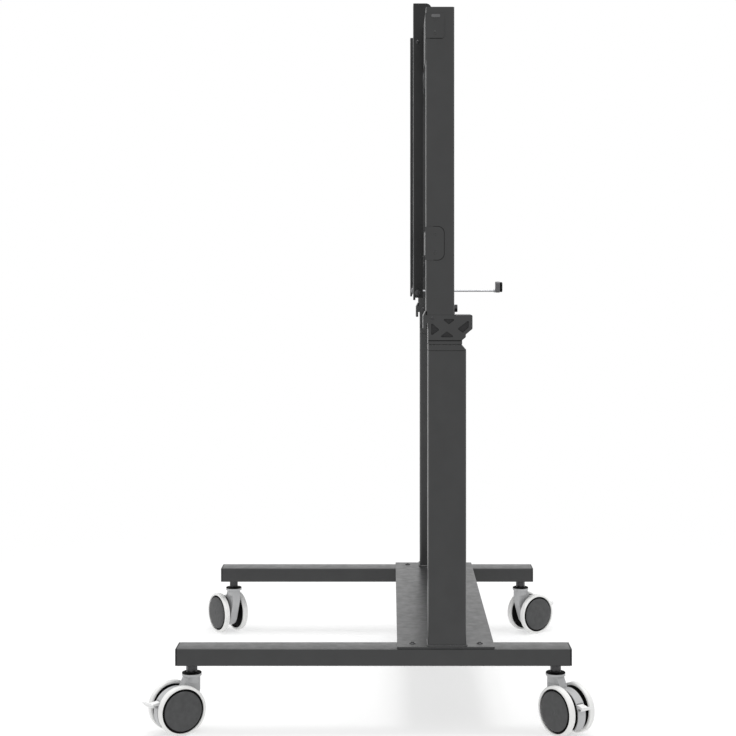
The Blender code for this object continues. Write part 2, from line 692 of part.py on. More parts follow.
def knob_mesh():
    """The grip on the lever's end, which stands up above the rod."""
    rod_end = LATCH_Y + LEVER_REACH
    front = rod_end + FIT - KNOB_BORE
    bottom = LATCH_Z - KNOB_BELOW_LEVER
    body = prism(
        rounded_rectangle(
            KNOB_LENGTH, KNOB_HEIGHT, KNOB_BELOW_LEVER / 2,
            (front + KNOB_LENGTH / 2, bottom + KNOB_HEIGHT / 2),
        ),
        -KNOB_WIDTH / 2, KNOB_WIDTH / 2, "X",
    )
    bore = moved(rod(LEVER_RADIUS + FIT, front - FIT, rod_end + FIT, "Y"), z=LATCH_Z)
    return combined(body, (), [bore])


def build_arms_and_latch(carried):
    arm = arm_mesh()
    for side, sign in (("left", -1), ("right", 1)):
        piece = carried(f"display_arm_{side}", moved(arm.copy(), x=sign * ARM_CENTRE_X), DARK_COAT)
        put_origin(piece, (sign * ARM_CENTRE_X, RAIL_FRONT, TOP_RAIL_TOP))
    for name, mesh, finish in (
        ("latch_shaft", latch_mesh(), BLACK_STEEL),
        ("release_lever", lever_mesh(), STEEL),
        ("release_knob", knob_mesh(), DARK_PLASTIC),
    ):
        put_origin(carried(name, mesh, finish), (0, LATCH_Y, LATCH_Z))


def put_origin(piece, place):
    """Moves a piece's origin to a place on its joint's axis, and leaves the piece where it is."""
    piece.data.transform(Matrix.Translation(-Vector(place)))
    piece.location = place


# Casters, built with the swivel axis on Z and the wheels trailing towards +Y


def stem_mesh():
    """The fixed stem: a spindle inside the housing, a nut under the leg and a thread up into it."""
    nut_bottom = COLLAR_TOP + FIT
    nut_top = CASTER_HEIGHT - FIT
    thread_top = CASTER_HEIGHT + THREAD_LENGTH
    spindle = turned([
        (0, thread_top), (THREAD_RADIUS, thread_top), (THREAD_RADIUS, nut_top),
        (SPINDLE_RADIUS, nut_bottom), (SPINDLE_RADIUS, SPINDLE_BOTTOM), (0, SPINDLE_BOTTOM),
    ], sides=SMALL_ROUND)
    nut = turned([(0, nut_top), (NUT_RADIUS, nut_top), (NUT_RADIUS, nut_bottom), (0, nut_bottom)], sides=6)
    return combined(nut, [spindle])


def housing_mesh():
    """The swivelling housing: a web between the wheels, a round neck and a collar."""
    axle = (CASTER_TRAIL, AXLE_Z)
    web = [(NECK_RADIUS, COLLAR_BOTTOM), (-NECK_RADIUS, COLLAR_BOTTOM)]
    web += [(-NECK_RADIUS, NECK_BOTTOM - NECK_RADIUS)]
    web += arc(axle, AXLE_BOSS_RADIUS, 200, 290, 5)
    web += arc((axle[0], axle[1] - HOUSING_ARC_BELOW_AXLE), HOUSING_RADIUS, HOUSING_ARC_START, 100, 11)
    body = prism(web, -HOUSING_HALF_WIDTH, HOUSING_HALF_WIDTH, "X")
    neck = turned([
        (0, COLLAR_TOP), (COLLAR_RADIUS, COLLAR_TOP), (COLLAR_RADIUS, COLLAR_BOTTOM),
        (NECK_RADIUS, COLLAR_BOTTOM), (NECK_RADIUS, NECK_BOTTOM), (0, NECK_BOTTOM),
    ])
    stem_bore = rod(SPINDLE_RADIUS + FIT, SPINDLE_BOTTOM - FIT, COLLAR_TOP + FIT, "Z")
    axle_bore = moved(rod(AXLE_RADIUS + FIT, -WHEEL_RADIUS, WHEEL_RADIUS, "X"), y=axle[0], z=axle[1])
    pivot = pedal_pivot()
    trunnion_bore = moved(
        rod(TRUNNION_RADIUS + FIT, -HOUSING_HALF_WIDTH + FIT, HOUSING_HALF_WIDTH - FIT, "X"),
        y=pivot[0], z=pivot[1],
    )
    room = PEDAL_BARREL_RADIUS + 2 * FIT
    slot_outline = arc(pivot, room, 90, 270, 5)
    slot_outline += [(axle[0] + PAD_TIP_BACK, pivot[1] - PEDAL_SWING_ROOM)]
    slot_outline += [(axle[0] + PAD_TIP_BACK, pivot[1] + room)]
    play = PEDAL_HALF_WIDTH + FIT
    slot = prism(slot_outline, -play, play, "X")
    return combined(body, [neck], [stem_bore, axle_bore, trunnion_bore, slot])


def pedal_pivot():
    return (CASTER_TRAIL + PEDAL_PIVOT_BACK, AXLE_Z + PEDAL_PIVOT_UP)


def pedal_mesh():
    """The brake pedal: a barrel with trunnions and a pad that rises behind the wheels."""
    pivot = pedal_pivot()
    tip = CASTER_TRAIL + PAD_TIP_BACK
    start = CASTER_TRAIL + PAD_START_BACK
    middle = AXLE_Z + PAD_UP + PAD_THICKNESS / 2

    def rise(back):
        return PAD_RISE * (back - start) / (tip - start)

    flat = rounded_rectangle(tip - start, PAD_THICKNESS, PAD_THICKNESS / 3, ((tip + start) / 2, middle))
    pad = prism([(back, up + rise(back)) for back, up in flat], -PAD_HALF_WIDTH, PAD_HALF_WIDTH, "X")
    root = start + PAD_THICKNESS
    half = PAD_THICKNESS / 2 - FIT
    arm = arc(pivot, PEDAL_BARREL_RADIUS, 70, 290, 6)
    arm += [(root, middle + rise(root) - half), (root, middle + rise(root) + half)]
    barrel = prism(arm, -PEDAL_HALF_WIDTH, PEDAL_HALF_WIDTH, "X")
    reach = HOUSING_HALF_WIDTH - 3 * FIT
    trunnions = moved(rod(TRUNNION_RADIUS, -reach, reach, "X"), y=pivot[0], z=pivot[1])
    return combined(barrel, [pad, trunnions])


def wheel_mesh():
    """A wheel on the +X side, with its axle on X, a seat for its cap and a hub that meets the housing."""
    bore = AXLE_RADIUS + FIT
    hub_face = HOUSING_HALF_WIDTH + FIT
    seat = WHEEL_OUTER_FACE - CAP_SEAT_DEPTH
    seat_edge = CAP_RADIUS + FIT
    edge = WHEEL_RADIUS - TREAD_ROUND
    return turned([
        (bore, seat), (seat_edge, seat), (seat_edge, WHEEL_OUTER_FACE), (edge, WHEEL_OUTER_FACE),
        (WHEEL_RADIUS, WHEEL_OUTER_FACE - TREAD_ROUND), (WHEEL_RADIUS, WHEEL_INNER_FACE + TREAD_ROUND),
        (edge, WHEEL_INNER_FACE), (HUB_FACE_RADIUS, WHEEL_INNER_FACE), (HUB_FACE_RADIUS, hub_face),
        (bore, hub_face),
    ], axis="X")


def cap_mesh():
    """The dark cap over a wheel's outer face, slightly crowned."""
    inner = WHEEL_OUTER_FACE - CAP_SEAT_DEPTH + FIT
    outer = inner + CAP_THICKNESS
    return turned([
        (0, outer), (CAP_CROWN * CAP_RADIUS, outer), (CAP_RADIUS, outer - CAP_EDGE_DROP),
        (CAP_RADIUS, inner), (0, inner),
    ], axis="X")


def build_casters():
    stem = stem_mesh()
    housing = housing_mesh()
    pedal = pedal_mesh()
    axle_half = WHEEL_OUTER_FACE - AXLE_END_INSET
    axle_place = (0, CASTER_TRAIL, AXLE_Z)
    axle = moved(rod(AXLE_RADIUS, -axle_half, axle_half, "X"), y=CASTER_TRAIL, z=AXLE_Z)
    wheel = wheel_mesh()
    cap = cap_mesh()
    half_turn = Matrix.Rotation(math.pi, 4, "Z")
    for corner, trail_angle in TRAIL_ANGLES.items():
        x = LEG_X if "right" in corner else -LEG_X
        y = (LEG_LENGTH / 2 - CASTER_INSET) * (1 if "rear" in corner else -1)
        swivel = marker(f"swivel_{corner}", (x, y, 0), math.radians(trail_angle - 90))
        name = f"caster_{corner}"
        add(f"{name}_stem", stem, STEEL, swivel)
        add(f"{name}_housing", housing, HOUSING_GREY, swivel)
        add(f"{name}_axle", axle, STEEL, swivel, axle_place)
        add(f"{name}_brake", pedal, TYRE_GREY, swivel, (0, *pedal_pivot()))
        for side, turn in (("a", Matrix()), ("b", half_turn)):
            for piece, mesh, finish in (("wheel", wheel, TYRE_GREY), ("cap", cap, COVER_GREY)):
                turned_mesh = mesh.copy()
                turned_mesh.transform(turn)
                add(f"{name}_{piece}_{side}", turned_mesh, finish, swivel).location = axle_place


def main():
    clear_scene()
    build_base()
    build_arms_and_latch(build_lifting_frame())
    build_casters()
    bpy.context.view_layer.update()


main()
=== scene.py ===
"""Display trolley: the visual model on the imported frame, its stage and its camera. Metres, +Z up."""

import json
import math

import bmesh
import bpy
from mathutils import Matrix, Vector


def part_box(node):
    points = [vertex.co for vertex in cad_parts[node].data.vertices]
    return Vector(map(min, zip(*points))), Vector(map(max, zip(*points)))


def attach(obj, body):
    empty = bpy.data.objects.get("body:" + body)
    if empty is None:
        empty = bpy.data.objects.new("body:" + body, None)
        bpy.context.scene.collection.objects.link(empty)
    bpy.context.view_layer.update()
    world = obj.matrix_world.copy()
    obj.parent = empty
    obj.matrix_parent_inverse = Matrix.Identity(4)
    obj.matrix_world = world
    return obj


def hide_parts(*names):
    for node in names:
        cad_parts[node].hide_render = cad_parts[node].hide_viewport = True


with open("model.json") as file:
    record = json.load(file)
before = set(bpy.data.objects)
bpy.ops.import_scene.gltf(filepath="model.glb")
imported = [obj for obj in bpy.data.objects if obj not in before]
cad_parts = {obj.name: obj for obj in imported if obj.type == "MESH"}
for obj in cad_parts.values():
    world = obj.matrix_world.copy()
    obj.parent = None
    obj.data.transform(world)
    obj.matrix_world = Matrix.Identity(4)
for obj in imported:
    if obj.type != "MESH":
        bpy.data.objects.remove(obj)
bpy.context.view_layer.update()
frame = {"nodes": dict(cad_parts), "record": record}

# Camera: the photo's frame is 736 pixels square, and its vanishing point is at these pixels
PHOTO_SIZE = 736
VANISHING_X = 390
VANISHING_Y = 272
CAMERA_PLACE = (3.580, 0.0332, 0.9316)
LENS = 75.86
SENSOR = 36.0

# Stage: the floor's clear share rises to 1 between two distances, and the world lights a little less than it shows
FLOOR_REACH = 12.0
FADE_START = 0.75
FADE_END = 2.2
FADE_LEAST = 0.6
WORLD_LIGHT = 0.90
LAMP_PLACE = (0.15, 0.1, 2.9)
LAMP_TARGET = (0.0, 0.1, 0.0)
LAMP_SIZE = 1.2
LAMP_POWER = 45

# Gaps, sheets and edges
FIT = 0.0003
EDGE = 0.0006
FINE_EDGE = 0.0004
SHEET = 0.002

# Rails, heads and the latch
RAIL_SHEET = 0.0012
RAIL_DEPTH = 0.0085
TOP_TAB_HEIGHT = 0.050
BOTTOM_RAIL_HALF = 0.0235
TAB_SHEET = 0.0015
ARM_BEFORE_RAIL = 0.0006
NOSE_REACH = 0.010
NECK_DEPTH = 0.0687
SHAFT_Y = 0.0910
SHAFT_RISE = 0.0085

# Castors, in their own space: swivel axis on Z, wheels trailing towards +Y, axle along X
TRAIL = 0.032
WHEEL_RADIUS = 0.050
WHEEL_INNER = 0.0193
WHEEL_OUTER = 0.0328
TYRE_BORE = 0.0443
CAP_RADIUS = 0.0398
HOUSING_HALF = 0.0100
HOUSING_RADIUS = 0.0465
HOUSING_DROP = 0.004
BOSS_RADIUS = 0.034
NECK_RADIUS = 0.0145
NECK_BOTTOM = 0.0985
COLLAR_RADIUS = 0.0200
COLLAR_BOTTOM = 0.1115
COLLAR_TOP = 0.1185
LEG_BOTTOM = 0.137
PIVOT = (0.068, 0.064)
PAD_START = 0.085
PAD_TIP = 0.103
PAD_MIDDLE = 0.0608
PAD_RISE = 0.0075
PEDAL_HALF = 0.0078
ROUND_SIDES = 96


class Box:
    """The sides of a CAD node's box."""

    def __init__(self, node):
        low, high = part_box(node)
        self.left, self.front, self.bottom = low
        self.right, self.rear, self.top = high
        self.x, self.y, self.z = (low + high) / 2

    def plan(self, inset=0.0):
        """The sides as seen from above, drawn in by an inset: left, right, front and rear."""
        return self.left + inset, self.right - inset, self.front + inset, self.rear - inset


# Materials


class Finish:
    """A procedural surface: its colour is mottled, its gloss varies, and it has a fine grain in relief."""

    def __init__(self, name, colour, roughness, metallic=0.0, specular=0.5):
        self.name = name
        self.material = bpy.data.materials.new(f"{name}_finish")
        self.material.use_nodes = True
        self.nodes = self.material.node_tree.nodes
        self.links = self.material.node_tree.links
        self.shader = self.nodes["Principled BSDF"]
        self.shader.inputs["Metallic"].default_value = metallic
        self.shader.inputs["Specular IOR Level"].default_value = specular
        self.colour = colour
        self.roughness = roughness
        self.place = self.nodes.new("ShaderNodeTexCoord").outputs["Object"]

    def stretched(self, scale):
        mapping = self.nodes.new("ShaderNodeMapping")
        mapping.inputs["Scale"].default_value = scale
        self.links.new(self.place, mapping.inputs["Vector"])
        return mapping.outputs["Vector"]

    def noise(self, scale, detail=2.0, stretch=None):
        made = self.nodes.new("ShaderNodeTexNoise")
        made.inputs["Scale"].default_value = scale
        made.inputs["Detail"].default_value = detail
        self.links.new(self.stretched(stretch) if stretch else self.place, made.inputs["Vector"])
        return made.outputs["Fac"]

    def ranged(self, value, low, high):
        """The middle of a noise's values, spread from low to high."""
        made = self.nodes.new("ShaderNodeMapRange")
        made.inputs["From Min"].default_value = 0.3
        made.inputs["From Max"].default_value = 0.7
        made.inputs["To Min"].default_value = low
        made.inputs["To Max"].default_value = high
        self.links.new(value, made.inputs["Value"])
        return made.outputs["Result"]

    def mottle(self, scale, amount, stretch=None, detail=4.0):
        """Colour that goes from a darker to a lighter shade by a noise."""
        ramp = self.nodes.new("ShaderNodeValToRGB")
        ramp.color_ramp.elements[0].position = 0.3
        ramp.color_ramp.elements[1].position = 0.7
        for element, factor in zip(ramp.color_ramp.elements, (1 - amount, 1 + amount)):
            element.color = (*(channel * factor for channel in self.colour), 1)
        self.links.new(self.noise(scale, detail, stretch), ramp.inputs["Fac"])
        self.links.new(ramp.outputs["Color"], self.shader.inputs["Base Color"])
        return self

    def gloss(self, scale, spread, stretch=None):
        """Roughness that varies by a noise."""
        value = self.ranged(self.noise(scale, 3.0, stretch), self.roughness - spread, self.roughness + spread)
        self.links.new(value, self.shader.inputs["Roughness"])
        return self

    def grain(self, *layers, stretch=None):
        """Relief from noises, each given as (scale, height in metres)."""
        normal = None
        for scale, height in layers:
            bump = self.nodes.new("ShaderNodeBump")
            bump.inputs["Strength"].default_value = 1.0
            bump.inputs["Distance"].default_value = height
            self.links.new(self.noise(scale, 2.0, stretch), bump.inputs["Height"])
            if normal:
                self.links.new(normal, bump.inputs["Normal"])
            normal = bump.outputs["Normal"]
        self.links.new(normal, self.shader.inputs["Normal"])
        return self


def powder_coat(name, shade, specular=0.5):
    coat = Finish(name, (0.98 * shade, shade, 1.02 * shade), 0.34, specular=specular)
    return coat.mottle(26, 0.08).gloss(60, 0.05).grain((500, 0.00002), (1500, 0.00001))


def make_finishes():
    dark_plastic = Finish("dark_plastic", (0.012, 0.012, 0.013), 0.50, specular=0.35)
    dark_plastic.mottle(60, 0.15).gloss(120, 0.06).grain((1300, 0.00004))
    # This near-black, barely glossy finish is the knob's rubber end, and also paints shade and dark reflections on
    # pieces put where there is only shadow.
    black_rubber_and_shade = Finish("black_rubber_and_shade", (0.006, 0.006, 0.006), 0.75, specular=0.12)
    black_rubber_and_shade.mottle(80, 0.20).gloss(120, 0.08).grain((900, 0.00004))
    cap_plastic = Finish("cap_plastic", (0.046, 0.047, 0.048), 0.50)
    cap_plastic.mottle(90, 0.16).gloss(150, 0.06).grain((1100, 0.00005))
    housing_plastic = Finish("housing_plastic", (0.45, 0.455, 0.46), 0.42)
    housing_plastic.mottle(50, 0.05).gloss(90, 0.06).grain((900, 0.00003))
    pedal_plastic = Finish("pedal_plastic", (0.80, 0.80, 0.80), 0.40)
    pedal_plastic.mottle(60, 0.03).gloss(90, 0.05).grain((900, 0.00003))
    grip_plastic = Finish("grip_plastic", (0.100, 0.100, 0.103), 0.45)
    grip_plastic.mottle(120, 0.10).gloss(140, 0.06).grain((1200, 0.00004))
    tyre_plastic = Finish("tyre_plastic", (0.80, 0.80, 0.79), 0.58)
    tyre_plastic.mottle(70, 0.03).gloss(110, 0.06).grain((700, 0.00005))
    bright_steel = Finish("bright_steel", (0.33, 0.335, 0.345), 0.45, 1.0)
    bright_steel.mottle(40, 0.06, (1, 0.08, 1)).gloss(80, 0.07).grain((500, 0.00002), stretch=(1, 0.05, 1))
    black_steel = Finish("black_steel", (0.050, 0.050, 0.052), 0.36, 0.6)
    black_steel.mottle(80, 0.12).gloss(100, 0.07).grain((800, 0.00003))
    # The arms' coat is the dark coat made darker and less glossy: painted shade, because the arms stand in the
    # columns' shadow.
    made = (
        powder_coat("dark_coat", 0.0245), powder_coat("arm_shaded_coat", 0.014, 0.3), dark_plastic, black_rubber_and_shade,
        cap_plastic, housing_plastic, pedal_plastic, grip_plastic, tyre_plastic, bright_steel, black_steel,
    )
    return {finish.name: finish.material for finish in made}


FINISHES = make_finishes()


# Shapes


def at(u, v, w, axis):
    """The point whose coordinate along axis is w, with u and v along the other two axes in X, Y, Z order."""
    return {"X": (w, u, v), "Y": (u, w, v), "Z": (u, v, w)}[axis]


def mesh_of(bm):
    """A mesh with its points and faces in an order that is the same each run, which bmesh alone doesn't keep."""
    bmesh.ops.remove_doubles(bm, verts=bm.verts, dist=1e-7)
    bmesh.ops.recalc_face_normals(bm, faces=bm.faces)
    points = sorted(bm.verts, key=lambda vert: tuple(vert.co))
    order = {vert: i for i, vert in enumerate(points)}
    faces = []
    for face in bm.faces:
        loop = [order[vert] for vert in face.verts]
        first = loop.index(min(loop))
        faces.append(loop[first:] + loop[:first])
    mesh = bpy.data.meshes.new("shape")
    mesh.from_pydata([tuple(vert.co) for vert in points], [], sorted(faces))
    bm.free()
    return mesh


def filleted(corners, radius, steps=5):
    """A polygon with round corners. A corner given with a third value has that radius."""
    points = []
    for i, corner in enumerate(corners):
        own = corner[2] if len(corner) > 2 else radius
        here = Vector(corner[:2])
        if not own:
            points.append(tuple(here))
            continue
        before = (Vector(corners[i - 1][:2]) - here).normalized()
        after = (Vector(corners[(i + 1) % len(corners)][:2]) - here).normalized()
        half = before.angle(after) / 2
        centre = here + (before + after).normalized() * own / math.sin(half)
        first = here + before * own / math.tan(half) - centre
        last = here + after * own / math.tan(half) - centre
        sweep = math.pi - 2 * half
        for step in range(steps + 1):
            share = step / steps
            spoke = (first * math.sin((1 - share) * sweep) + last * math.sin(share * sweep)) / math.sin(sweep)
            points.append(tuple(centre + spoke))
    return points


def rectangle(u_low, u_high, v_low, v_high, radius=0.0, steps=5):
    return filleted([(u_low, v_low), (u_high, v_low), (u_high, v_high), (u_low, v_high)], radius, steps)


def arc(centre, radius, first, last, steps):
    """Points on an arc, with its angles in degrees."""
    points = []
    for step in range(steps + 1):
        angle = math.radians(first + (last - first) * step / steps)
        points.append((centre[0] + radius * math.cos(angle), centre[1] + radius * math.sin(angle)))
    return points


def prism(outline, start, end, axis, holes=()):
    """A solid whose outline, less its holes, is extruded along an axis."""
    bm = bmesh.new()
    edges = []
    for loop in (outline, *holes):
        points = [bm.verts.new(at(u, v, start, axis)) for u, v in loop]
        edges += [bm.edges.new(pair) for pair in zip(points, points[1:] + points[:1])]
    if holes:
        bmesh.ops.triangle_fill(bm, use_beauty=True, edges=edges)
    else:
        bm.faces.new(points)
    extruded = bmesh.ops.extrude_face_region(bm, geom=bm.faces[:])["geom"]
    raised = [item for item in extruded if isinstance(item, bmesh.types.BMVert)]
    bmesh.ops.translate(bm, verts=raised, vec=at(0, 0, end - start, axis))
    return mesh_of(bm)


def skinned(rings, loop=False):
    """A skin over rings of points. Its ends are closed, or joined to each other."""
    bm = bmesh.new()
    rows = [[bm.verts.new(point) for point in ring] for ring in rings]
    pairs = list(zip(rows, rows[1:]))
    if loop:
        pairs.append((rows[-1], rows[0]))
    else:
        bm.faces.new(rows[0])
        bm.faces.new(rows[-1])
    for row, following in pairs:
        for i in range(len(row)):
            j = (i + 1) % len(row)
            bm.faces.new((row[i], row[j], following[j], following[i]))
    return mesh_of(bm)


def tube(sides, wall, corner, inner_corner, start, end, axis, steps=7):
    """A rectangular tube along an axis, with its sides given as for rectangle()."""
    u_low, u_high, v_low, v_high = sides
    outer = rectangle(*sides, corner, steps)
    inner = rectangle(u_low + wall, u_high - wall, v_low + wall, v_high - wall, inner_corner, steps)
    ends = ((outer, start), (outer, end), (inner, end), (inner, start))
    return skinned([[at(u, v, w, axis) for u, v in outline] for outline, w in ends], loop=True)


def turned(profile, axis="Z", sides=64):
    """A solid of revolution. The profile's points are (radius, place along the axis)."""
    bm = bmesh.new()
    points = [bm.verts.new((radius, 0, along)) for radius, along in profile]
    edges = [bm.edges.new(pair) for pair in zip(points, points[1:])]
    if profile[0][0] > 0:
        edges.append(bm.edges.new((points[-1], points[0])))
    bmesh.ops.spin(
        bm, geom=points + edges, cent=(0, 0, 0), axis=(0, 0, 1), dvec=(0, 0, 0),
        angle=math.tau, steps=sides, use_merge=True, use_duplicate=False,
    )
    mesh = mesh_of(bm)
    if axis == "X":
        mesh.transform(Matrix.Rotation(math.pi / 2, 4, "Y"))
    elif axis == "Y":
        mesh.transform(Matrix.Rotation(-math.pi / 2, 4, "X"))
    return mesh


def rod(radius, start, end, axis="Z", sides=32, chamfer=0.0004):
    return turned([
        (0, end), (radius - chamfer, end), (radius, end - chamfer),
        (radius, start + chamfer), (radius - chamfer, start), (0, start),
    ], axis, sides)


def circle(radius):
    return lambda angle: radius


def hexagon(across):
    """A hexagon's radius at an angle, from its width across flats."""
    return lambda angle: across / 2 / math.cos(angle % (math.pi / 3) - math.pi / 6)


def lofted(rings, sides=24):
    """A skin over rings about Z, each given as (radius by angle, height)."""
    turns = [math.tau * i / sides for i in range(sides)]
    return skinned([
        [(shape(turn) * math.cos(turn), shape(turn) * math.sin(turn), height) for turn in turns]
        for shape, height in rings
    ])


def hex_head(across, height):
    """A hexagon head on Z = 0, chamfered on top, on a thin washer face."""
    return lofted([
        (circle(0.55 * across), 0), (circle(0.55 * across), 0.12 * height), (hexagon(across), 0.14 * height),
        (hexagon(across), 0.86 * height), (circle(0.49 * across), height),
    ])


def button_head(radius, height):
    """A domed screw head on Z = 0 with a hexagon socket."""
    dome = [(circle(radius * math.cos(a)), height * (0.2 + 0.8 * math.sin(a))) for a in (0.1, 0.5, 0.9)]
    socket = 0.95 * radius
    return lofted([
        (circle(radius), 0), *dome, (circle(0.56 * radius), height),
        (hexagon(socket), 0.97 * height), (hexagon(0.96 * socket), 0.35 * height),
    ])


def bead(outline, height, radius):
    """A weld seam around an outline in X and Y: a round bead with shallow ripples."""
    rings = []
    for i, point in enumerate(outline):
        before, here, after = Vector(outline[i - 1]), Vector(point), Vector(outline[(i + 1) % len(outline)])
        along = (after - before).normalized()
        outwards = Vector((along.y, -along.x))
        size = radius * (1 + 0.16 * math.sin(2.4 * i))
        ring = []
        for step in range(8):
            angle = math.tau * step / 8
            shift = here + outwards * size * math.cos(angle)
            ring.append((shift.x, shift.y, height + size * math.sin(angle)))
        rings.append(ring)
    return skinned(rings, loop=True)


def spaced(outline, pitch):
    """The closed outline's points, with more put between those that are further apart than the pitch."""
    points = []
    for here, after in zip(outline, outline[1:] + outline[:1]):
        gap = (Vector(after) - Vector(here)).length
        count = max(1, round(gap / pitch))
        if gap > pitch / 3:
            points += [tuple(Vector(here).lerp(Vector(after), i / count)) for i in range(count)]
    return points


def moved(mesh, x=0.0, y=0.0, z=0.0):
    mesh.transform(Matrix.Translation((x, y, z)))
    return mesh


def facing(mesh, axis):
    """Turns a mesh so that its +Z side faces along an axis given as +X, -X, +Y or -Y."""
    turn = {"+X": ("Y", 90), "-X": ("Y", -90), "+Y": ("X", -90), "-Y": ("X", 90)}[axis]
    mesh.transform(Matrix.Rotation(math.radians(turn[1]), 4, turn[0]))
    return mesh


def together(*meshes):
    """One mesh that holds several."""
    bm = bmesh.new()
    for mesh in meshes:
        bm.from_mesh(mesh)
    joined = bpy.data.meshes.new("shape")
    bm.to_mesh(joined)
    bm.free()
    return joined


def combined(base, added=(), removed=()):
    """The base mesh with other meshes joined to it, and then others cut from it."""
    target = bpy.data.objects.new("target", base)
    bpy.context.collection.objects.link(target)
    helpers = []
    for operation, meshes in (("UNION", added), ("DIFFERENCE", removed)):
        for mesh in meshes:
            helper = bpy.data.objects.new("helper", mesh)
            bpy.context.collection.objects.link(helper)
            helpers.append(helper)
            boolean = target.modifiers.new(operation, "BOOLEAN")
            boolean.operation = operation
            boolean.solver = "EXACT"
            boolean.object = helper
    bpy.context.view_layer.update()
    result = bpy.data.meshes.new_from_object(target.evaluated_get(bpy.context.evaluated_depsgraph_get()))
    for done in helpers + [target]:
        bpy.data.objects.remove(done, do_unlink=True)
    return result


def show(name, mesh, finish, body, stands_for=(), edge=0.0, segments=2, crease=35):
    """A piece of the visual model: named, finished, riding its body and standing for CAD nodes."""
    mesh.name = name
    mesh.materials.clear()
    mesh.materials.append(FINISHES[finish])
    mesh.shade_smooth()
    piece = bpy.data.objects.new(name, mesh)
    bpy.context.collection.objects.link(piece)
    if edge:
        bevel = piece.modifiers.new("edge", "BEVEL")
        bevel.width = edge
        bevel.segments = segments
        bevel.limit_method = "ANGLE"
        bevel.angle_limit = math.radians(crease)
        bevel.harden_normals = True
        bevel.use_clamp_overlap = True
    else:
        mesh.set_sharp_from_angle(angle=math.radians(crease))
    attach(piece, body)
    if stands_for:
        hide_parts(*stands_for)
    return piece


def show_side_screws(name, side, box, y, z, radius, height, body):
    """A screw on each side face of a box."""
    for face, x, way in (("outer", box.right, "+X"), ("inner", box.left, "-X")):
        screw = moved(facing(button_head(radius, height), way), x, y, z)
        show(f"{name}_screw_{face}_{side}", screw, "black_steel", body)


# Base


def build_leg(side):
    leg = Box(f"leg_{side}")
    corner = 0.003
    sides = (leg.left, leg.right, leg.bottom, leg.top)
    mesh = tube(sides, 0.0025, corner, 0.0008, leg.front, leg.rear, "Y", 5)
    show(f"leg_tube_{side}", mesh, "dark_coat", "base", [f"leg_{side}"], crease=50)
    for end in ("front", "rear"):
        node = f"leg_cap_{end}_{side}"
        cap = Box(node)
        low, high = (cap.front, leg.front - FIT) if end == "front" else (leg.rear + FIT, cap.rear)
        outline = rectangle(cap.left, cap.right, cap.bottom, cap.top, corner)
        show(f"{node}_plate", prism(outline, low, high, "Y"), "dark_plastic", "base", [node], edge=0.0012, segments=3)


def build_plate():
    plate = Box("base_plate")
    outline = rectangle(*plate.plan(), 0.003)
    show("plate", prism(outline, plate.bottom, plate.top, "Z"), "dark_coat", "base", ["base_plate"], edge=EDGE)
    for side in ("left", "right"):
        leg = Box(f"leg_{side}")
        post = Box(f"post_{side}")
        for spot, y in (("front", (plate.front + post.front) / 2), ("rear", (post.rear + plate.rear) / 2)):
            screw = moved(button_head(0.0065, 0.0022), leg.x, y, plate.top)
            show(f"plate_screw_{spot}_{side}", screw, "black_steel", "base")


def build_post(side):
    post = Box(f"post_{side}")
    corner = 0.006
    mesh = tube(post.plan(), 0.003, corner, 0.003, post.bottom, post.top, "Z")
    show(f"post_tube_{side}", mesh, "dark_coat", "base", [f"post_{side}"], crease=50)
    ripple = 0.0028
    seam = bead(spaced(rectangle(*post.plan(), corner, 7), ripple), post.bottom + 0.0008, 0.0026)
    show(f"post_weld_{side}", seam, "dark_coat", "base", crease=80)
    build_collar(side, post)


def build_collar(side, post):
    """The collar on the post: it slopes at the back, and the lifting column runs through it."""
    collar = Box(f"post_collar_{side}")
    column = Box(f"inner_column_{side}")
    base = post.top + FIT
    slope = 0.0105
    setback = 0.0083
    corner = 0.006
    foot_edge = 0.0006
    top_edge = 0.0008

    def ring(sides, height, radius):
        return [(x, y, height) for x, y in rectangle(*sides, radius, 7)]

    def outside(height, back=0.0, inset=0.0, radius=corner):
        left, right, front, rear = collar.plan(inset)
        return ring((left, right, front, rear - back), height, radius)

    def bore(height):
        return ring(column.plan(-2 * FIT), height, 0.004)

    rings = [
        bore(base), outside(base, 0.0, foot_edge, 0.0055), outside(base + foot_edge),
        outside(collar.top - slope), outside(collar.top - top_edge, setback),
        outside(collar.top, setback, top_edge, corner - top_edge), bore(collar.top),
    ]
    show(f"collar_{side}", skinned(rings, loop=True), "dark_coat", "base", [f"post_collar_{side}"], crease=30)


# Lifting frame


def head_side(head, top, inset=0.0):
    """The head's outline from the side, as (y, z): with its nose, or without it and drawn in by an inset."""
    front = head.front + NOSE_REACH
    nose_top = top - 0.002
    nose_base = nose_top - 0.014
    nose_tip = nose_base - 0.0125
    neck = front + NECK_DEPTH - inset
    shoulder = front + 0.0760 - inset
    corners = [
        (front + inset, head.bottom + inset, 0.001), (neck, head.bottom + inset, 0.001),
        (neck, head.bottom + 0.0085, 0.002), (shoulder, head.bottom + 0.0145, 0.002),
        (shoulder, head.bottom + 0.0200, 0.002), (head.rear - inset, top - 0.028 + inset / 2, 0.003),
        (head.rear - inset, top - inset, 0.0025),
    ]
    if inset:
        return filleted(corners + [(front + inset, top - inset, 0.002)], 0.001)
    corners += [
        (front - 0.0048, top, 0.0002), (front - 0.0048, top + 0.0085, 0.0004), (head.front, nose_top, 0.001),
        (head.front, nose_tip, 0.001), (head.front + 0.0055, nose_tip, 0.001),
        (head.front + 0.0055, nose_base, 0.001), (front, nose_base, 0.001),
    ]
    return filleted(corners, 0.001)


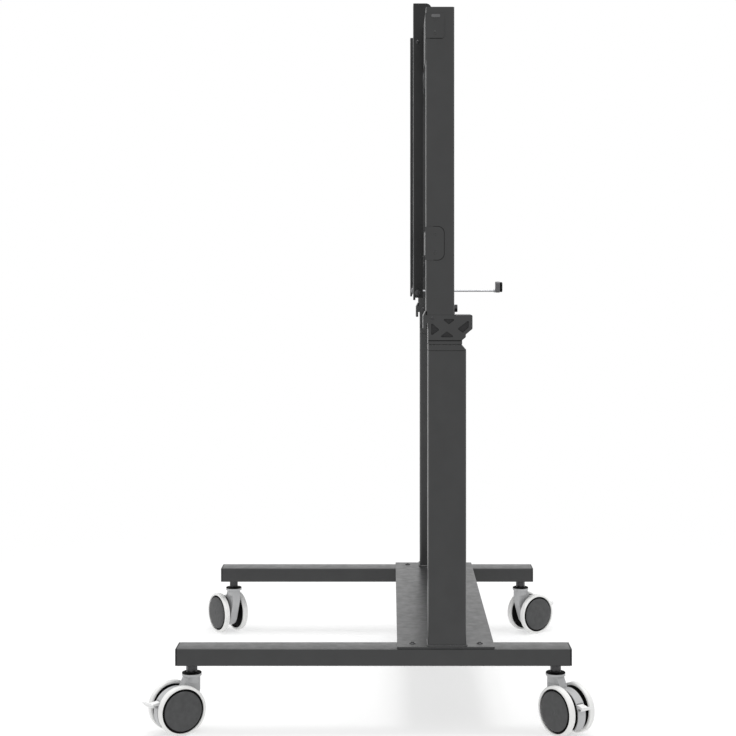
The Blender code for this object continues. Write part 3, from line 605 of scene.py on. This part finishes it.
def head_pockets(head, top):
    """Four pockets between the crossed ribs on a head's side, as outlines in (y, z)."""
    front = head.front + NOSE_REACH
    corners = [
        [(front + 0.028, top - 0.008), (front + 0.056, top - 0.008), (front + 0.042, top - 0.019)],
        [(front + 0.006, top - 0.015), (front + 0.023, top - 0.030), (front + 0.006, top - 0.042)],
        [(front + 0.022, top - 0.045), (front + 0.038, top - 0.033), (front + 0.054, top - 0.045)],
        [(front + 0.059, top - 0.028), (front + 0.082, top - 0.010), (front + 0.082, top - 0.025),
         (front + 0.070, top - 0.036)],
    ]
    return [filleted(loop[::-1], 0.002, 3) for loop in corners]


def build_head(side):
    """A head: a core, ribbed skins whose pockets get dark floors as painted shade, a thin black strip along the neck
    as a painted shadow line, and the spigot inside the column.
    """
    node = f"post_head_{side}"
    head = Box(node)
    column = Box(f"column_{side}")
    top = column.bottom - FIT
    depth = 0.0030
    outline = head_side(head, top)
    low, high = head.left + depth, head.right - depth
    core = prism(outline, low, high, "X")
    pockets = head_pockets(head, top)
    skins = [prism(outline, x, x + depth, "X", pockets) for x in (head.left, high)]
    show(f"head_{side}", together(core, *skins), "dark_coat", "lift", [node], edge=EDGE, crease=40)
    # The pockets' floors are thin dark sheets: painted shade in the recesses.
    floor = head_side(head, top, 0.004)
    shaded_floors = [prism(floor, x, x + 0.0006, "X") for x in (low - 0.0005, high - 0.0001)]
    show(f"head_pockets_{side}", together(*shaded_floors), "dark_plastic", "lift")
    spigot = rectangle(*column.plan(0.0028), 0.002)
    show(f"head_spigot_{side}", prism(spigot, top - 0.002, head.top, "Z"), "black_steel", "lift")
    front = head.front + NOSE_REACH
    # A thin black strip along the neck: a painted shadow line under the head.
    shadow_strip = rectangle(front + FIT, front + NECK_DEPTH - 0.0005, head.bottom + 0.0065, head.bottom + 0.0083)
    show(f"head_shadow_strip_{side}", prism(shadow_strip, head.left - FIT, head.right + FIT, "X"), "black_rubber_and_shade", "lift")
    show_side_screws("head", side, head, front + 0.008, top - 0.008, 0.0040, 0.0014, "lift")


def build_column(side):
    column = Box(f"column_{side}")
    wall = 0.0025
    mesh = tube(column.plan(), wall, 0.005, 0.0025, column.bottom, column.top - 0.0004, "Z")
    show(f"column_tube_{side}", mesh, "dark_coat", "lift", [f"column_{side}"], crease=50)
    lid = prism(rectangle(*column.plan(wall + FIT), 0.0022), column.top - 0.003, column.top, "Z")
    show(f"column_lid_{side}", lid, "dark_plastic", "lift", edge=0.0008, segments=3)
    bolt = Box(f"column_bolt_{side}")
    height = bolt.rear - column.rear - FIT
    head = moved(facing(hex_head(0.0150, height), "+Y"), bolt.x, column.rear + FIT, bolt.z)
    show(f"foot_bolt_{side}", head, "black_steel", "lift", [f"column_bolt_{side}"])
    slide = Box(f"inner_column_{side}")
    mesh = tube(slide.plan(), wall, 0.004, 0.0015, slide.bottom, slide.top, "Z")
    show(f"slide_column_{side}", mesh, "black_steel", "lift", [f"inner_column_{side}"], crease=50)


def build_cross_bar():
    bar = Box("cross_bar")
    mesh = tube((bar.front, bar.rear, bar.bottom, bar.top), SHEET, 0.003, 0.001, bar.left, bar.right, "X", 5)
    show("bar_tube", mesh, "dark_coat", "lift", ["cross_bar"], crease=50)


def build_rail(name, bottom, top, tab_bottom, tab_top, tab_radius):
    """A rail: a sheet across the columns' fronts, with end tabs on their outer faces and flanges between them."""
    rail = Box(name)
    column = Box("column_right")
    rear = rail.front + RAIL_DEPTH
    inside = rail.front + RAIL_SHEET
    bend = 0.0022
    section = [
        (rail.front, bottom, bend), (rear, bottom, 0.0003), (rear, bottom + RAIL_SHEET, 0.0003),
        (inside, bottom + RAIL_SHEET, 0.001), (inside, top - RAIL_SHEET, 0.001), (rear, top - RAIL_SHEET, 0.0003),
        (rear, top, 0.0003), (rail.front, top, bend),
    ]
    half = column.left - FIT
    channel = prism(filleted(section, bend, 4), -half, half, "X")
    across = column.right - 0.005
    front = prism(rectangle(rail.front, inside, bottom, top), -across, across, "X")
    level = rectangle(rail.front, inside, max(bottom, tab_bottom), min(top, tab_top))
    band = prism(level, rail.left, rail.right, "X")
    outline = filleted([
        (rail.front, tab_bottom, 0.0005), (rail.rear, tab_bottom), (rail.rear, tab_top),
        (rail.front, tab_top, 0.0005),
    ], tab_radius, 8)
    tabs = [prism(outline, low, low + TAB_SHEET, "X") for low in (rail.left, rail.right - TAB_SHEET)]
    mesh = combined(channel, [front, band, *tabs])
    show(f"{name}_sheet", mesh, "dark_coat", "lift", [name], edge=FINE_EDGE, crease=40)
    middle = (tab_bottom + tab_top) / 2
    for side, x, way in (("left", rail.left, "-X"), ("right", rail.right, "+X")):
        for spot, sign in (("upper", 1), ("lower", -1)):
            z = middle + sign * 0.28 * (tab_top - tab_bottom)
            screw = facing(button_head(0.0040, 0.0010), way)
            show(f"{name}_screw_{spot}_{side}", moved(screw, x, column.front + 0.018, z), "dark_coat", "lift")


def build_rails():
    """Both rails, thin black pads between their tabs and the columns whose rims peek out as painted shadow lines, and
    a lighter rib on each top tab as a painted highlight.
    """
    top = Box("top_rail")
    tab_bottom = top.top - TOP_TAB_HEIGHT
    build_rail("top_rail", top.bottom, top.top, tab_bottom, top.top, 0.004)
    bottom = Box("bottom_rail")
    build_rail("bottom_rail", bottom.z - BOTTOM_RAIL_HALF, bottom.z + BOTTOM_RAIL_HALF, bottom.bottom, bottom.top,
               0.013)
    clear = 0.00002
    seat = Box("column_right").right + clear
    thin = FIT - 2 * clear
    rim = 0.0010
    pad_front = 0.006
    trims = (
        # The black pads peek out past the tabs as painted shadow lines.
        ("top_shade_pad", seat, thin, "black_rubber_and_shade",
         rectangle(top.front + pad_front, top.rear - 0.0005, tab_bottom - rim, top.top - rim, 0.004)),
        ("bottom_shade_pad", seat, thin, "black_rubber_and_shade",
         rectangle(bottom.front + pad_front, bottom.rear + rim, bottom.bottom - rim, bottom.top + rim, 0.0135, 8)),
        # The lighter rib near the top of each top tab is a painted highlight.
        ("top_highlight_rib", top.right, 0.0007, "grip_plastic",
         rectangle(top.front + 0.012, top.front + 0.030, top.top - 0.0080, top.top - 0.0020, 0.0025)),
    )
    for name, start, thickness, finish, outline in trims:
        for side, sign in (("left", -1), ("right", 1)):
            low, high = sorted((sign * start, sign * (start + thickness)))
            show(f"{name}_{side}", prism(outline, low, high, "X"), finish, "lift")


# Display arms and latch


def build_arm(side):
    """An arm: a channel of bent sheet with slots, a toe at its foot and a hook over the top rail."""
    arm = Box(f"display_arm_{side}")
    rail = Box("top_rail")
    ledge = rail.top + FIT
    rear = rail.front - ARM_BEFORE_RAIL
    hook_front = rail.front + RAIL_DEPTH + FIT
    hook_bottom = ledge - 0.018
    bend = 0.0032
    inside = bend - SHEET
    tip = 0.0005
    section = [
        (arm.left, arm.rear, tip), (arm.left, arm.front, bend), (arm.right, arm.front, bend),
        (arm.right, arm.rear, tip), (arm.right - SHEET, arm.rear, tip),
        (arm.right - SHEET, arm.front + SHEET, inside), (arm.left + SHEET, arm.front + SHEET, inside),
        (arm.left + SHEET, arm.rear, tip),
    ]
    channel = prism(filleted(section, bend, 4), arm.bottom, arm.top, "Z")
    past = 0.01
    low, high = arm.left - past, arm.right + past
    toe = arm.front + 0.0045
    behind = prism([
        (rear, arm.bottom - past), (arm.rear + past, arm.bottom - past), (arm.rear + past, hook_bottom),
        (hook_front, hook_bottom), (hook_front, ledge), (rear, ledge),
    ], low, high, "X")
    heel = prism(rectangle(toe, rear + past, arm.bottom - past, arm.bottom + 0.005), low, high, "X")
    corner = 0.012
    round_off = arc((arm.rear - corner, arm.top - corner), corner, 0, 90, 12)
    shoulder = prism(round_off + [(arm.rear - corner, arm.top + past), (arm.rear + past, arm.top + past),
                                  (arm.rear + past, arm.top - corner)], low, high, "X")
    hole = moved(rod(0.004 + FIT, low, high, "X"), y=SHAFT_Y, z=Box("latch_shaft").bottom + SHAFT_RISE)
    cuts = [behind, heel, shoulder, hole]
    slot_half_width, slot_half_length = 0.0045, 0.025
    pitch = 0.200
    start, end = arm.front - past, arm.front + 3 * SHEET
    for index in range(3):
        z = arm.bottom + 0.119 + pitch * index
        slot = rectangle(arm.x - slot_half_width, arm.x + slot_half_width, z - slot_half_length,
                         z + slot_half_length, slot_half_width - 0.0001, 6)
        cuts.append(prism(slot, start, end, "Y"))
        if index < 2:
            cuts.append(moved(rod(0.0024, start, end, "Y"), x=arm.x, z=z + pitch / 2))
    body = f"arm_{side}"
    mesh = combined(channel, (), cuts)
    # The arm's coat is darker than the columns' coat as painted shade.
    show(f"arm_{side}", mesh, "arm_shaded_coat", body, [f"display_arm_{side}"], edge=FINE_EDGE, crease=40)
    show_side_screws("arm", side, arm, arm.front + 0.009, ledge - 0.030, 0.0038, 0.0012, body)


def build_latch():
    """The shaft through the arms' feet with its two fingers, and the lever with its knob."""
    shaft = Box("latch_shaft")
    lever = Box("release_lever")
    knob = Box("release_knob")
    rail_bottom = Box("bottom_rail").z - BOTTOM_RAIL_HALF
    finger_front = shaft.rear - 0.009
    y, z = SHAFT_Y, lever.z
    finger = filleted([
        (y - 0.0075, z - 0.003, 0.003), (y - 0.002, z - 0.0082, 0.003), (y + 0.006, z - 0.006, 0.003),
        (shaft.rear, rail_bottom - 0.018, 0.004), (shaft.rear, shaft.top, 0.002), (finger_front, shaft.top, 0.001),
        (finger_front, rail_bottom - 0.009, 0.003), (y - 0.0072, z + 0.004, 0.003),
    ], 0.002)

    def round_part(radius, x, half_length):
        return moved(rod(radius, x - half_length, x + half_length, "X"), y=y, z=z)

    parts = [moved(rod(0.004, shaft.left, shaft.right, "X"), y=y, z=z)]
    for x in (-0.090, 0.090):
        parts += [prism(finger, x - 0.004, x + 0.004, "X"), round_part(0.0065, x, 0.007)]
    parts += [round_part(0.0058, sign * (shaft.right - 0.004), 0.0008) for sign in (-1, 1)]
    show("latch_bar", together(*parts), "black_steel", "latch", ["latch_shaft"], edge=0.0005, crease=50)
    hub = moved(rod(0.0085, lever.left, lever.right, "X", 40), y=y, z=z)
    stalk = moved(rod(0.0022, y + 0.005, lever.rear, "Y", 24), z=z)
    ferrule = moved(rod(0.0036, knob.front - 0.004, knob.front, "Y", 24), z=z)
    show("lever_rod", together(hub, stalk, ferrule), "bright_steel", "latch", ["release_lever"])
    joint = knob.rear - 0.0058
    grip = prism(rectangle(knob.left, knob.right, knob.bottom, knob.top, 0.005), knob.front, joint, "Y")
    show("knob_body", grip, "grip_plastic", "latch", ["release_knob"], edge=0.0016, segments=4)
    inset = 0.0012
    end = rectangle(knob.left + inset, knob.right - inset, knob.bottom + inset, knob.top - inset, 0.004)
    show("knob_end", prism(end, joint, knob.rear, "Y"), "black_rubber_and_shade", "latch", edge=0.0025, segments=5)


# Castors


def housing_mesh(axle_z):
    """The web between the wheels under its neck, with a slot for the pedal."""
    axle = (TRAIL, axle_z)
    outline = [(NECK_RADIUS, COLLAR_BOTTOM), (-NECK_RADIUS, COLLAR_BOTTOM), (-NECK_RADIUS, NECK_BOTTOM - NECK_RADIUS)]
    outline += arc(axle, BOSS_RADIUS, 200, 290, 24)
    outline += arc((TRAIL, axle_z - HOUSING_DROP), HOUSING_RADIUS, -40, 100, 48)
    room = 0.0061
    slot = arc(PIVOT, room, 90, 270, 12)
    slot += [(PAD_TIP, PIVOT[1] - 0.0146), (PAD_TIP, PIVOT[1] + room)]
    half_slot = PEDAL_HALF + 0.0005
    web = prism(outline, -HOUSING_HALF, HOUSING_HALF, "X")
    return combined(web, (), [prism(slot, -half_slot, half_slot, "X")])


def shade_sheet_mesh(axle_z):
    """Thin black sheets on both sides of the web, drawn in from its rim: painted shade in the gaps between the web
    and the wheels.
    """
    outline = arc((TRAIL, axle_z), BOSS_RADIUS - 0.0025, 195, 290, 20)
    outline += arc((TRAIL, axle_z - HOUSING_DROP), HOUSING_RADIUS - 0.0022, -40, 110, 40)
    thin = 0.0002
    return together(*(prism(outline, x, x + thin, "X") for x in (-HOUSING_HALF - thin, HOUSING_HALF)))


def boss_mesh(axle_z):
    """The bosses that stand out from the web around the axle."""
    profile = [(0.0102, HOUSING_HALF), (0.0102, 0.0176), (0.0150, 0.0176), (0.0158, 0.0168), (0.0170, HOUSING_HALF)]
    near = turned(profile, "X", 48)
    far = near.copy()
    far.transform(Matrix.Rotation(math.pi, 4, "Z"))
    return moved(together(near, far), y=TRAIL, z=axle_z)


def collar_mesh():
    """The flanged collar on the housing's neck."""
    lip = 0.0010
    edge = COLLAR_RADIUS - lip
    top = COLLAR_TOP - 0.0018
    profile = [(0, top), (edge, top)]
    profile += arc((edge, top - lip), lip, 90, 0, 4)
    profile += arc((edge, COLLAR_BOTTOM + lip), lip, 0, -90, 4)
    profile += [(NECK_RADIUS + 0.0020, COLLAR_BOTTOM), (NECK_RADIUS + 0.0006, COLLAR_BOTTOM - 0.0010)]
    profile += [(NECK_RADIUS, COLLAR_BOTTOM - 0.0030), (NECK_RADIUS, NECK_BOTTOM), (0, NECK_BOTTOM)]
    return turned(profile)


def dark_reflection_ring_mesh():
    """A black ring on the collar, dished around the stem: a painted dark reflection that stands for the shiny
    collar's dark sides.
    """
    low = COLLAR_TOP - 0.0018
    edge = COLLAR_RADIUS - 0.0002
    return turned([
        (0, COLLAR_TOP - 0.0010), (0.0125, COLLAR_TOP - 0.0010), (0.0135, COLLAR_TOP), (edge - 0.0006, COLLAR_TOP),
        (edge, COLLAR_TOP - 0.0006), (edge, low), (0, low),
    ])


def tyre_mesh():
    """The pale tyre of the wheel on the +X side of its castor, centred on its own axle."""
    radius = WHEEL_RADIUS
    shoulder = 0.0032
    edge = 0.0005
    inner, outer = WHEEL_INNER, WHEEL_OUTER
    middle = (inner + outer) / 2
    profile = [(TYRE_BORE, outer - edge), (TYRE_BORE + edge, outer), (radius - shoulder, outer)]
    profile += arc((radius - shoulder, outer - shoulder), shoulder, 90, 0, 6)
    profile += [(radius, middle + 0.0005), (radius - 0.0004, middle), (radius, middle - 0.0005)]
    profile += arc((radius - shoulder, inner + shoulder), shoulder, 0, -90, 6)
    profile += [(TYRE_BORE + edge, inner), (TYRE_BORE, inner + edge)]
    return turned(profile, "X", ROUND_SIDES)


def core_mesh():
    """The wheel's black core: a groove around the cap outside, a dish inside, and a hub that meets the housing. The
    inner dish is black as painted shade, to darken the gap between the wheel and the web.
    """
    inner, outer = WHEEL_INNER, WHEEL_OUTER
    seat = outer - 0.0015
    floor = outer - 0.0035
    hub_face = HOUSING_HALF + FIT
    return turned([
        (0.0043, seat), (CAP_RADIUS - 0.0010, seat), (CAP_RADIUS - 0.0010, floor), (TYRE_BORE, floor),
        (TYRE_BORE, inner + 0.0010), (0.0425, inner + 0.0010), (0.0405, inner + 0.0030), (0.0150, inner + 0.0030),
        (0.0130, inner), (0.0095, inner - 0.0006), (0.0095, hub_face), (0.0043, hub_face),
    ], "X", ROUND_SIDES)


def cap_mesh():
    """The cap in a wheel's outer face: crowned, with a dimple in the middle."""
    inner = WHEEL_OUTER - 0.0015 + FIT
    outer = inner + 0.0037
    edge = CAP_RADIUS
    return turned([
        (0, outer - 0.0004), (0.0040, outer - 0.0004), (0.0048, outer), (0.030, outer - 0.0001),
        (0.0350, outer - 0.0005), (0.0380, outer - 0.0011), (edge - 0.0004, outer - 0.0017),
        (edge, outer - 0.0024), (edge, inner), (0, inner),
    ], "X", ROUND_SIDES)


def brake_mesh():
    """The pedal: a tongue from its pivot, and a ribbed pad that slopes up behind the wheels."""
    slope = PAD_RISE / (PAD_TIP - PAD_START)
    root = PAD_START + 0.006
    root_z = PAD_MIDDLE + slope * (root - PAD_START)
    tongue = filleted([
        (PIVOT[0] - 0.0045, PIVOT[1] - 0.0030, 0.002), (root, root_z - 0.0027, 0.0005),
        (root, root_z + 0.0015, 0.0005), (PIVOT[0] + 0.0040, PIVOT[1] + 0.0040, 0.004),
        (PIVOT[0] - 0.0045, PIVOT[1] + 0.0045, 0.003),
    ], 0.002)
    parts = [prism(rectangle(-0.0125, 0.0125, PAD_START, PAD_TIP, 0.0045), -0.0030, 0.0020, "Z")]
    for index in range(3):
        y = PAD_START + 0.0042 + 0.0042 * index
        parts.append(prism(rectangle(-0.0095, 0.0095, y, y + 0.0018, 0.0008), 0.0014, 0.0030, "Z"))
    pad = together(*parts)
    lift = PAD_MIDDLE - slope * PAD_START
    pad.transform(Matrix(((1, 0, 0, 0), (0, 1, 0, 0), (0, slope, 1, lift), (0, 0, 0, 1))))
    return together(prism(tongue, -PEDAL_HALF, PEDAL_HALF, "X"), pad)


def stem_mesh():
    """The stem between the collar and the leg, with its hexagon nut between two washers."""
    low = COLLAR_TOP + FIT
    high = LEG_BOTTOM - FIT
    washer = 0.0014
    nut_low = low + washer + 0.0006
    nut_high = high - washer - 0.0002
    nut = lofted([
        (circle(0.0102), nut_low), (hexagon(0.0198), nut_low + 0.0012), (hexagon(0.0198), nut_high - 0.0012),
        (circle(0.0102), nut_high),
    ])
    washers = [rod(0.0113, low, low + washer), rod(0.0113, high - washer, high)]
    return together(nut, rod(0.0060, NECK_BOTTOM + 0.0005, LEG_BOTTOM), *washers)


def build_castor(corner):
    joints = {joint["name"]: joint for joint in frame["record"]["behaviour"]["joints"]}
    pivot = Vector(joints[f"swivel_{corner}_turn"]["pos_m"])
    hub = Vector(joints[f"wheel_{corner}_a_spin"]["pos_m"])
    trail = hub - pivot
    turn = math.atan2(trail.y, trail.x) - math.pi / 2
    place = Matrix.Translation((pivot.x, pivot.y, 0)) @ Matrix.Rotation(turn, 4, "Z")
    half_turn = Matrix.Rotation(math.pi, 4, "Z")
    name = f"caster_{corner}"

    def put(piece, mesh, finish, body, nodes=(), local=Matrix(), **looks):
        mesh.transform(place @ local)
        show(f"{corner}_{piece}", mesh, finish, body, nodes, **looks)

    swivel = f"swivel_{corner}"
    put("stem", stem_mesh(), "black_steel", "base", [f"{name}_stem"])
    put("housing", housing_mesh(hub.z), "housing_plastic", swivel, [f"{name}_housing"], edge=0.0022, segments=4)
    # The thin black sheets on the web are painted shade.
    put("shade_sheets", shade_sheet_mesh(hub.z), "black_rubber_and_shade", swivel)
    put("bosses", boss_mesh(hub.z), "housing_plastic", swivel)
    put("collar", collar_mesh(), "housing_plastic", swivel)
    # The black ring on the collar is a painted dark reflection.
    put("dark_reflection_ring", dark_reflection_ring_mesh(), "black_rubber_and_shade", swivel)
    put("brake", brake_mesh(), "pedal_plastic", f"brake_{corner}", [f"{name}_brake"], edge=0.0006, segments=3)
    on_axle = Matrix.Translation((0, TRAIL, hub.z))
    for side, local in (("a", on_axle), ("b", on_axle @ half_turn)):
        body = f"wheel_{corner}_{side}"
        put(f"tyre_{side}", tyre_mesh(), "tyre_plastic", body, [f"{name}_wheel_{side}"], local)
        # The core's black inner dish is painted shade in the gap by the web.
        put(f"wheel_core_{side}", core_mesh(), "black_rubber_and_shade", body, (), local)
        put(f"cap_{side}", cap_mesh(), "cap_plastic", body, [f"{name}_cap_{side}"], local, crease=25)


# Stage


def finish_kept_nodes():
    """Gives each CAD node that still shows the finish of its slot."""
    slots = {part["node"]: part["material_slot"] for part in frame["record"]["subparts"]}
    for name, node in frame["nodes"].items():
        if not node.hide_render:
            node.material_slots[0].material = FINISHES[slots[name]]


def build_stage():
    """A pale floor that fades out around the trolley, and a white world."""
    floor_mesh = bpy.data.meshes.new("floor")
    corners = rectangle(-FLOOR_REACH, FLOOR_REACH, -FLOOR_REACH, FLOOR_REACH)
    floor_mesh.from_pydata([(x, y, 0) for x, y in corners], [], [(0, 1, 2, 3)])
    material = bpy.data.materials.new("floor")
    material.use_nodes = True
    nodes, links = material.node_tree.nodes, material.node_tree.links
    shader = nodes["Principled BSDF"]
    shader.inputs["Base Color"].default_value = (0.97, 0.97, 0.97, 1)
    shader.inputs["Roughness"].default_value = 0.9
    shader.inputs["Specular IOR Level"].default_value = 0.1
    length = nodes.new("ShaderNodeVectorMath")
    length.operation = "LENGTH"
    links.new(nodes.new("ShaderNodeTexCoord").outputs["Object"], length.inputs[0])
    fade = nodes.new("ShaderNodeMapRange")
    fade.interpolation_type = "SMOOTHSTEP"
    fade.inputs["From Min"].default_value = FADE_START
    fade.inputs["From Max"].default_value = FADE_END
    fade.inputs["To Min"].default_value = FADE_LEAST
    links.new(length.outputs["Value"], fade.inputs["Value"])
    mix = nodes.new("ShaderNodeMixShader")
    links.new(fade.outputs["Result"], mix.inputs["Fac"])
    links.new(shader.outputs["BSDF"], mix.inputs[1])
    links.new(nodes.new("ShaderNodeBsdfTransparent").outputs["BSDF"], mix.inputs[2])
    links.new(mix.outputs["Shader"], nodes["Material Output"].inputs["Surface"])
    floor_mesh.materials.append(material)
    floor = bpy.data.objects.new("floor", floor_mesh)
    bpy.context.collection.objects.link(floor)

    world = bpy.data.worlds.new("studio")
    bpy.context.scene.world = world
    world.use_nodes = True
    nodes, links = world.node_tree.nodes, world.node_tree.links
    background = nodes["Background"]
    background.inputs["Color"].default_value = (1, 1, 1, 1)
    path = nodes.new("ShaderNodeLightPath")
    seen = path.outputs["Is Camera Ray"]
    for ray in ("Is Glossy Ray", "Is Transmission Ray"):
        either = nodes.new("ShaderNodeMath")
        either.operation = "MAXIMUM"
        links.new(seen, either.inputs[0])
        links.new(path.outputs[ray], either.inputs[1])
        seen = either.outputs["Value"]
    strength = nodes.new("ShaderNodeMapRange")
    strength.inputs["To Min"].default_value = WORLD_LIGHT
    strength.inputs["To Max"].default_value = 1.0
    links.new(seen, strength.inputs["Value"])
    links.new(strength.outputs["Result"], background.inputs["Strength"])


def build_lamp():
    light = bpy.data.lights.new("overhead", "AREA")
    light.shape = "SQUARE"
    light.size = LAMP_SIZE
    light.energy = LAMP_POWER
    lamp = bpy.data.objects.new("overhead", light)
    lamp.location = LAMP_PLACE
    lamp.rotation_euler = (Vector(LAMP_TARGET) - Vector(LAMP_PLACE)).to_track_quat("-Z", "Y").to_euler()
    lamp.visible_camera = False
    bpy.context.collection.objects.link(lamp)


def build_camera():
    camera = bpy.data.cameras.new("camera")
    camera.lens = LENS
    camera.sensor_width = SENSOR
    camera.shift_x = (PHOTO_SIZE / 2 - VANISHING_X) / PHOTO_SIZE
    camera.shift_y = (VANISHING_Y - PHOTO_SIZE / 2) / PHOTO_SIZE
    camera.clip_end = 200
    viewer = bpy.data.objects.new("camera", camera)
    viewer.location = CAMERA_PLACE
    viewer.rotation_euler = (math.radians(90), 0, math.radians(90))
    bpy.context.collection.objects.link(viewer)
    bpy.context.scene.camera = viewer


for side_name in ("left", "right"):
    build_leg(side_name)
    build_post(side_name)
    build_head(side_name)
    build_column(side_name)
    build_arm(side_name)
build_plate()
build_cross_bar()
build_rails()
build_latch()
for corner_name in ("front_left", "front_right", "rear_left", "rear_right"):
    build_castor(corner_name)
finish_kept_nodes()
build_stage()
build_lamp()
build_camera()
bpy.context.scene.view_settings.view_transform = "Standard"
